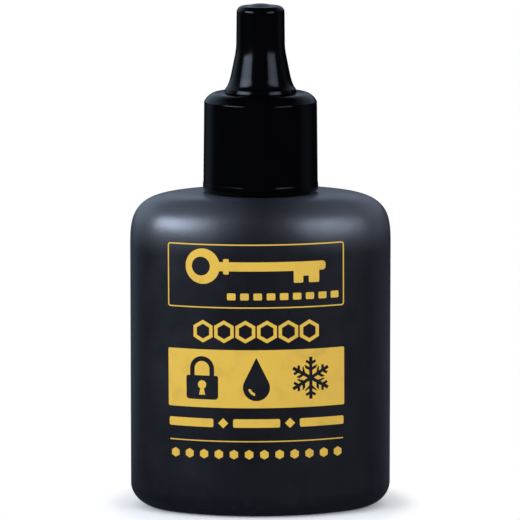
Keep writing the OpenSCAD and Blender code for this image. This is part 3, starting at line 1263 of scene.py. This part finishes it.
@dataclass
class FrontPrint:
    """Screen print on the bottle's front, from the top down.

    A key over dashes in a frame, a row of hexagons, a panel with three signs, bars with diamonds, a rule and
    a row of small hexagons. Each is drawn round its own middle and has its height on the bottle.
    """

    material: Material
    bottle: Bottle
    middle: float = -1.38
    turn: float = 0.28
    pivot_z: float = 25.0
    thickness: float = 0.03
    sink: float = 0.02
    strip: float = 0.8
    strip_start: float = 0.37
    edge_a: float = 40.0
    width: float = 31.9
    frame_h: float = 11.2
    frame_line: float = 0.22
    frame_z: float = 42.8
    dash_u: float = -4.3
    dash_v: float = -3.55
    dash_step: float = 2.3
    dash_count: int = 9
    key_z: float = 44.5
    hexagon_r: float = 2.0
    hexagon_in_r: float = 1.3
    hexagon_step: float = 3.75
    hexagon_count: int = 6
    hexagon_z: float = 33.1
    panel_h: float = 10.2
    panel_z: float = 24.8
    sign_u: float = 9.6
    drop_r: float = 2.35
    drop_tip: float = 5.3
    drop_v: float = -1.5
    bar_w: float = 8.2
    bar_h: float = 1.5
    bar_step: float = 11.7
    diamond_r: float = 0.9
    bars_z: float = 17.0
    rule_w: float = 31.4
    rule_h: float = 0.2
    rule_z: float = 13.8
    small_r: float = 0.85
    small_step: float = 2.66
    small_count: int = 12
    small_z: float = 11.5

    def laid(self, name: str, flat: Mesh, height: float) -> Piece:
        """Gives a flat shape the ink's thickness and lays it on the front.

        Args:
            name: The piece's name.
            flat: The shape in metres, in X and Y.
            height: Height of the shape's origin on the bottle.

        Returns:
            The piece.
        """
        shape = working(flat)
        bmesh.ops.remove_doubles(shape, verts=shape.verts, dist=WELD)
        for way in (Vector((1, 0, 0)), Vector((0, 1, 0))):
            reach = math.ceil(max(abs(vertex.co.dot(way)) for vertex in shape.verts) / MM / self.strip)
            for k in range(-reach, reach + 1):
                cut = way * ((k + self.strip_start) * self.strip * MM)
                geometry = [*shape.verts, *shape.edges, *shape.faces]
                bmesh.ops.bisect_plane(shape, geom=geometry, dist=SPECK, plane_co=cut, plane_no=way)
        lower = set(shape.verts)
        bmesh.ops.extrude_face_region(shape, geom=list(shape.faces), use_keep_orig=True)
        tilt = Matrix.Rotation(math.radians(self.turn), 2)
        for vertex in shape.verts:
            spot = tilt @ Vector((vertex.co.x / MM, vertex.co.y / MM + height - self.pivot_z))
            lift = -self.sink if vertex in lower else self.thickness
            vertex.co = self.bottle.off_front(spot.x + self.middle, spot.y + self.pivot_z, lift) * MM
        piece = finished(name, plain_mesh(shape), self.material)
        piece.data.set_sharp_from_angle(angle=math.radians(self.edge_a))
        return piece

    @staticmethod
    def filled(outlines: list[Outline]) -> Mesh:
        """Fills outlines, so that an outline inside another is a hole and one inside that is an island.

        Args:
            outlines: Closed outlines, in millimetres.

        Returns:
            The flat mesh, in metres.
        """
        curve = bpy.data.curves.new("outline", "CURVE")
        curve.dimensions = "2D"
        curve.fill_mode = "BOTH"
        for outline in outlines:
            spline = curve.splines.new("POLY")
            spline.points.add(len(outline) - 1)
            for point, (u, v) in zip(spline.points, outline):
                point.co = (u * MM, v * MM, 0, 1)
            spline.use_cyclic_u = True
        return baked(linked("outline", curve))

    @staticmethod
    def box(width: float, height: float, radius: float, u: float = 0.0, v: float = 0.0) -> Outline:
        """Gives a box of this width and height round a middle, with corners of this radius."""
        corners = [(-1, -1), (1, -1), (1, 1), (-1, 1)]
        return softened([(u + i * width / 2, v + j * height / 2, radius) for i, j in corners], True)

    @staticmethod
    def round(u: float, v: float, radius: float, sides: int = 40, start: float = 0.0) -> Outline:
        """Gives a circle or a regular polygon round a middle, from an angle in degrees."""
        return arc((u, v), radius, start, start + 360, sides)[:-1]

    def key(self) -> list[Outline]:
        """Gives a key that lies on its side.

        Returns:
            Its outline, with a round bow, a collar and a bit of two teeth, and the hole in its bow.
        """
        bow = arc((-9.4, 0), 3.1, 15, 345, 44)
        blade = [
            (-5.7, -0.8, 0), (-5.7, -1.35, 0.2), (-4.7, -1.35, 0.2), (-4.7, -0.8, 0), (6.6, -0.8, 0.1),
            (6.6, -2.9, 0.2), (8.3, -2.9, 0.2), (8.3, -1.7, 0.1), (9.3, -1.7, 0.1), (9.3, -2.9, 0.2),
            (11.2, -2.9, 0.2), (11.2, -0.8, 0.1), (12.4, -0.8, 0.6), (12.4, 0.8, 0.6), (-4.7, 0.8, 0),
            (-4.7, 1.35, 0.2), (-5.7, 1.35, 0.2), (-5.7, 0.8, 0),
        ]
        return [[*bow, *softened(blade, True, 4)], self.round(-9.7, 0, 1.65)]

    def padlock(self, u: float) -> list[Outline]:
        """Gives a closed padlock with its shackle's opening and a keyhole.

        Args:
            u: Its middle to the right.

        Returns:
            The outlines, which are a hole and two islands in a panel.
        """
        half, top, foot, bow_r, gap_r, slot = 2.9, 0.5, -3.7, 2.2, 1.35, 0.55
        bow_at = (u, top + 1.2)
        corners = [
            (u - half, top, 0.4),
            (u - half, foot, 0.6),
            (u + half, foot, 0.6),
            (u + half, top, 0.4),
            (u + bow_r, top, 0.0),
            *sharp(arc(bow_at, bow_r, 0, 180, 24)),
            (u - bow_r, top, 0.0),
        ]
        opening = [(u + gap_r, top + 0.01), *arc(bow_at, gap_r, 0, 180, 20), (u - gap_r, top + 0.01)]
        keyhole = [(u - slot, -2.9), (u + slot, -2.9), *arc((u, -1.1), 0.75, -65, 245, 24)]
        return [softened(corners, True, 5), opening, keyhole]

    def drop(self) -> list[Outline]:
        """Gives a drop with a glint in its round end.

        Returns:
            The outlines, which are a hole and an island in a panel.
        """
        middle = (0.0, self.drop_v)
        lean = math.degrees(math.acos(self.drop_r / self.drop_tip))
        skin = [(0.0, self.drop_v + self.drop_tip), *arc(middle, self.drop_r, 90 + lean, 450 - lean, 36)]
        return [skin, [*arc(middle, 1.45, 190, 260, 10), *arc(middle, 1.0, 255, 195, 10)]]

    def snow(self, u: float, reach: float = 3.7, half: float = 0.3, twig: float = 0.48) -> Outline:
        """Gives a six-armed ice crystal.

        Args:
            u: Its middle to the right.
            reach: Length of an arm.
            half: Half of an arm's width.
            twig: Width of a side twig.

        Returns:
            The outline.
        """
        sixth = math.pi / 3
        way, out = Vector((math.sin(sixth), 0.5)), Vector((-0.5, math.sin(sixth)))
        side = [Vector((half, half / math.tan(sixth / 2)))]
        for start, length in ((1.35, 1.15), (2.4, 0.8)):
            foot = Vector((half, start))
            side += [foot, foot + way * length, foot + way * length + out * twig]
            side.append(Vector((half, start + twig / math.sin(sixth))))
        side.append(Vector((half, reach)))
        arm = [*side, *(Vector((-p.x, p.y)) for p in reversed(side[1:]))]
        arms = [Matrix.Rotation(k * sixth, 2) @ p for k in range(6) for p in arm]
        return [(u + p.x, p.y) for p in arms]

    def row(self, motif: list[Outline], count: int, spacing: float) -> Mesh:
        """Repeats a motif's outlines in a row with this spacing, as a flat mesh."""
        inputs = {"Count": count, "Spacing": spacing * MM, "Material": self.material}
        return NodeForms.grow(NodeForms.row(), self.filled(motif), inputs)

    def build(self) -> list[Piece]:
        """Lays every part of the print on the front.

        Returns:
            The print's pieces.
        """
        inner_w, inner_h = self.width - 2 * self.frame_line, self.frame_h - 2 * self.frame_line
        dash_places = [self.dash_u + self.dash_step * k for k in range(self.dash_count)]
        border = [
            self.box(self.width, self.frame_h, 0.5),
            self.box(inner_w, inner_h, 0.3),
            *(self.box(1.5, 1.2, 0.2, u, self.dash_v) for u in dash_places),
        ]
        panel = [
            self.box(self.width, self.panel_h, 0.25),
            *self.padlock(-self.sign_u),
            *self.drop(),
            self.snow(self.sign_u),
        ]
        hexagon = [self.round(0, 0, r, 6, 30) for r in (self.hexagon_r, self.hexagon_in_r)]
        hexagons = self.row(hexagon, self.hexagon_count, self.hexagon_step)
        bars = [self.box(self.bar_w, self.bar_h, 0.3, k * self.bar_step) for k in (-1, 0, 1)]
        bars += [self.round(k * self.bar_step, 0, self.diamond_r, 4) for k in (-0.5, 0.5)]
        rule = [self.box(self.rule_w, self.rule_h, 0.06)]
        small = self.row([self.round(0, 0, self.small_r, 6, 30)], self.small_count, self.small_step)
        return [
            self.laid("print_frame", self.filled(border), self.frame_z),
            self.laid("print_key", self.filled(self.key()), self.key_z),
            self.laid("print_hexagons", hexagons, self.hexagon_z),
            self.laid("print_panel", self.filled(panel), self.panel_z),
            self.laid("print_bars", self.filled(bars), self.bars_z),
            self.laid("print_rule", self.filled(rule), self.rule_z),
            self.laid("print_small_hexagons", small, self.small_z),
        ]


def bearing(azimuth: float, elevation: float) -> Vector:
    """Gives the way from the bottle to a place at degrees to the right of the front and above the floor."""
    a, e = math.radians(azimuth), math.radians(elevation)
    return Vector((math.sin(a) * math.cos(e), -math.cos(a) * math.cos(e), math.sin(e)))


@dataclass(frozen=True)
class Softbox:
    """Rectangular soft light that faces the bottle. Sizes are in metres, angles in degrees."""

    name: str
    azimuth: float
    elevation: float
    width: float
    height: float
    radiance: float
    colour: str = "#dae7ff"
    distance: float = 0.6
    spread: float = 38.0

    def build(self, target: Vector) -> None:
        """Puts the light into the scene.

        Args:
            target: Point that it faces.
        """
        light = bpy.data.lights.new(self.name, "AREA")
        light.shape = "RECTANGLE"
        light.size, light.size_y = self.width, self.height
        half = math.radians(self.spread)
        light.spread = 2 * half
        light.energy = self.radiance * math.pi * self.width * self.height * (1 - half / math.tan(half))
        light.color = linear(self.colour)[:3]
        way = bearing(self.azimuth, self.elevation)
        lamp = linked(self.name, light)
        lamp.location = target + way * self.distance
        lamp.rotation_mode = "QUATERNION"
        lamp.rotation_quaternion = (-way).to_track_quat("-Z", "Y")
        lamp.visible_camera = False


@dataclass
class Studio:
    """White sweep, two soft lights, dark cards for the reflections and the camera. Sizes are in metres."""

    camera_azimuth: float = -2.5
    camera_elevation: float = 8.05
    camera_distance: float = 0.88
    camera_x: float = -0.0001
    camera_near: float = 0.05
    target_z: float = 0.0436
    lens: float = 346.0
    sensor: float = 36.0
    ambient: float = 0.8
    floor_colour: str = "#f4f4f4"
    floor_front: float = -0.03
    floor_back: float = 0.045
    floor_side: float = 0.03
    floor_fade: tuple[float, float] = (0.8, 0.97)
    floor_lift: float = 0.12
    card_radius: float = 0.75
    card_low: float = -0.03
    card_segments: int = 48
    card_right_colour: str = "#b0b8d4"
    card_left_colour: str = "#c4e2f8"
    card_tint: Span = (0.4, -0.4)
    front_level: float = 0.045
    back_way: tuple[float, float, float] = (0.0, 1.0, 0.8)
    back_span: Span = (0.25, 0.7)
    back_level: float = 0.68
    back_top: Span = (0.64, 0.42)
    table_way: tuple[float, float, float] = (0.25, 1.0, 0.0)
    table_ends: tuple[Point, Point] = ((0.05, 0.022), (0.62, 0.015))
    table_glow: tuple[Point, Point] = ((0.25, 0.19), (0.38, 0.19))
    edge_way: tuple[float, float, float] = (-0.12, 0.0, 1.0)
    edge_span: Span = (0.13, 0.2)
    softboxes: tuple[Softbox, ...] = (
        Softbox("softbox_left", azimuth=-62.5, elevation=25, width=0.46, height=0.23, radiance=9.2),
        Softbox("softbox_right", azimuth=48.5, elevation=23, width=0.39, height=0.24, radiance=4.6),
    )

    @property
    def target(self) -> Vector:
        """Point in the middle of the picture."""
        return Vector((self.camera_x, 0, self.target_z))

    @staticmethod
    def seen(tree: Tree) -> Socket:
        """Gives 1 for rays from the camera, off a glossy surface or through a clear one, and 0 for others."""
        path = put(tree, "ShaderNodeLightPath").outputs
        return number(
            tree, "MAXIMUM", path["Is Camera Ray"],
            number(tree, "MAXIMUM", path["Is Glossy Ray"], path["Is Transmission Ray"]),
        )

    def build_world(self) -> None:
        """Makes a world that looks white and lights the bottle softly."""
        world = bpy.data.worlds.new("white_sweep")
        world.use_nodes = True
        tree = world.node_tree
        tree.nodes.clear()
        strength = ranged(tree, self.seen(tree), (0.0, 1.0), (self.ambient, 1.0))
        sky = put(tree, "ShaderNodeBackground", {"Color": WHITE, "Strength": strength})
        put(tree, "ShaderNodeOutputWorld", {"Surface": sky.outputs[0]})
        bpy.context.scene.world = world

    def build_floor(self) -> None:
        """Makes the pale floor, which keeps the shadow, fades into the white and isn't reflected."""
        material, tree, place = new_material("pale_floor")
        seen = self.seen(tree)
        away = put(tree, "ShaderNodeVectorMath", {0: place}, operation="LENGTH").outputs["Value"]
        fade = ranged(tree, away, tuple(share * self.floor_side for share in self.floor_fade), smooth=True)
        glow = number(tree, "MULTIPLY", seen, self.floor_lift)
        paint = put(tree, "ShaderNodeBsdfDiffuse", {"Color": linear(self.floor_colour)})
        lift = put(tree, "ShaderNodeEmission", {"Color": WHITE, "Strength": glow})
        near = put(tree, "ShaderNodeAddShader", {0: paint.outputs[0], 1: lift.outputs[0]})
        far = put(tree, "ShaderNodeEmission", {"Color": WHITE, "Strength": seen})
        both = put(tree, "ShaderNodeMixShader", {0: fade, 1: near.outputs[0], 2: far.outputs[0]})
        put(tree, "ShaderNodeOutputMaterial", {"Surface": both.outputs[0]})
        side, front, back = self.floor_side, self.floor_front, self.floor_back
        mesh = bpy.data.meshes.new("floor")
        corners = [(-side, front, 0), (side, front, 0), (side, back, 0), (-side, back, 0)]
        mesh.from_pydata(corners, [], [(0, 1, 2, 3)])
        floor = finished("floor", mesh, material)
        floor.visible_glossy = False

    def build_cards(self) -> None:
        """Makes the dark cards round the set, dimly lit at the back, which only reflections see."""
        material, tree, spot = new_material("black_flock_card")
        place = put(tree, "ShaderNodeSeparateXYZ", {0: spot}).outputs
        depth = along(tree, spot, self.back_way)
        behind = ranged(tree, depth, self.back_span, (self.front_level, 1.0), smooth=True)
        top = ranged(tree, place["Z"], self.back_top, (0.0, self.back_level), smooth=True)
        backdrop = number(tree, "MULTIPLY", behind, top)
        table = put(tree, "ShaderNodeValToRGB", {"Fac": along(tree, spot, self.table_way)})
        stops = table.color_ramp.elements
        for k, (away, light) in enumerate(self.table_ends):
            stops[k].position, stops[k].color = away, (light, light, light, 1.0)
        for away, light in self.table_glow:
            stops.new(away).color = (light, light, light, 1.0)
        rise = along(tree, spot, self.edge_way)
        level = ranged(tree, rise, self.edge_span, (table.outputs["Color"], backdrop))
        left = ranged(tree, place["X"], self.card_tint)
        tint = mixed(tree, left, self.card_right_colour, self.card_left_colour)
        paint = put(tree, "ShaderNodeEmission", {"Color": tint, "Strength": level})
        put(tree, "ShaderNodeOutputMaterial", {"Surface": paint.outputs[0]})
        shape, around = bmesh.new(), self.card_segments
        bmesh.ops.create_uvsphere(shape, u_segments=around, v_segments=around // 2, radius=self.card_radius)
        for vertex in shape.verts:
            vertex.co.z = max(vertex.co.z, self.card_low)
        cards = finished("black_cards", plain_mesh(shape), material)
        cards.visible_camera = False
        cards.visible_diffuse = False
        cards.visible_shadow = False
        cards.visible_transmission = False

    def build_camera(self) -> None:
        """Makes the camera at the photograph's height and distance."""
        camera = linked("camera", bpy.data.cameras.new("camera"))
        camera.data.lens = self.lens
        camera.data.sensor_width = self.sensor
        camera.data.clip_start = self.camera_near
        azimuth, elevation = self.camera_azimuth, self.camera_elevation
        camera.location = self.target + bearing(azimuth, elevation) * self.camera_distance
        camera.rotation_euler = (math.radians(90 - elevation), 0, math.radians(azimuth))
        bpy.context.scene.camera = camera

    def build(self) -> None:
        """Sets up the whole studio."""
        bpy.context.scene.view_settings.view_transform = "Standard"
        self.build_world()
        self.build_floor()
        self.build_cards()
        for softbox in self.softboxes:
            softbox.build(self.target)
        self.build_camera()


def ride_on(body: str, slot: str | None, *pieces: Piece) -> None:
    """Fixes pieces to a body and reports them.

    Args:
        body: The body's name.
        slot: The record's material slot, or None for a finish that the record doesn't hold. Not used.
        pieces: The pieces.
    """
    for piece in pieces:
        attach(piece, body)
        LOG.info("%s rides on %s with %d faces", piece.name, body, len(piece.data.polygons))


def main() -> None:
    """Builds the bottle, its closure, its cap, the print and the studio."""
    logging.basicConfig(level=logging.INFO, format="%(name)s: %(message)s")

    bottle = Bottle(BOTTLE_HDPE.material())
    shell = bottle.build()
    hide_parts("bottle")
    ride_on("bottle_body", "bottle_hdpe", shell, bottle.build_thread(), bottle.build_pinch_line())
    ride_on("bottle_body", None, *FrontPrint(PRINT_INK.material(), bottle).build())

    closer = ScrewCloser(CLOSURE_PP.material())
    closure = closer.build()
    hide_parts("screw_closure")
    ride_on("closure_body", "closure_pp", closure, closer.build_thread())

    cap = NozzleCap(CAP_PP.material()).build()
    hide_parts("nozzle_cap")
    ride_on("cap_body", "nozzle_cap_pp", cap)

    for node, finish in (("closure_gasket", GASKET_FOAM), ("graphite_fluid", GRAPHITE_FLUID)):
        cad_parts[node].data.materials.clear()
        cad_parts[node].data.materials.append(finish.material())
        LOG.info("%s keeps its solid with %s", node, finish.name)

    Studio().build()


if __name__ == "__main__":
    main()
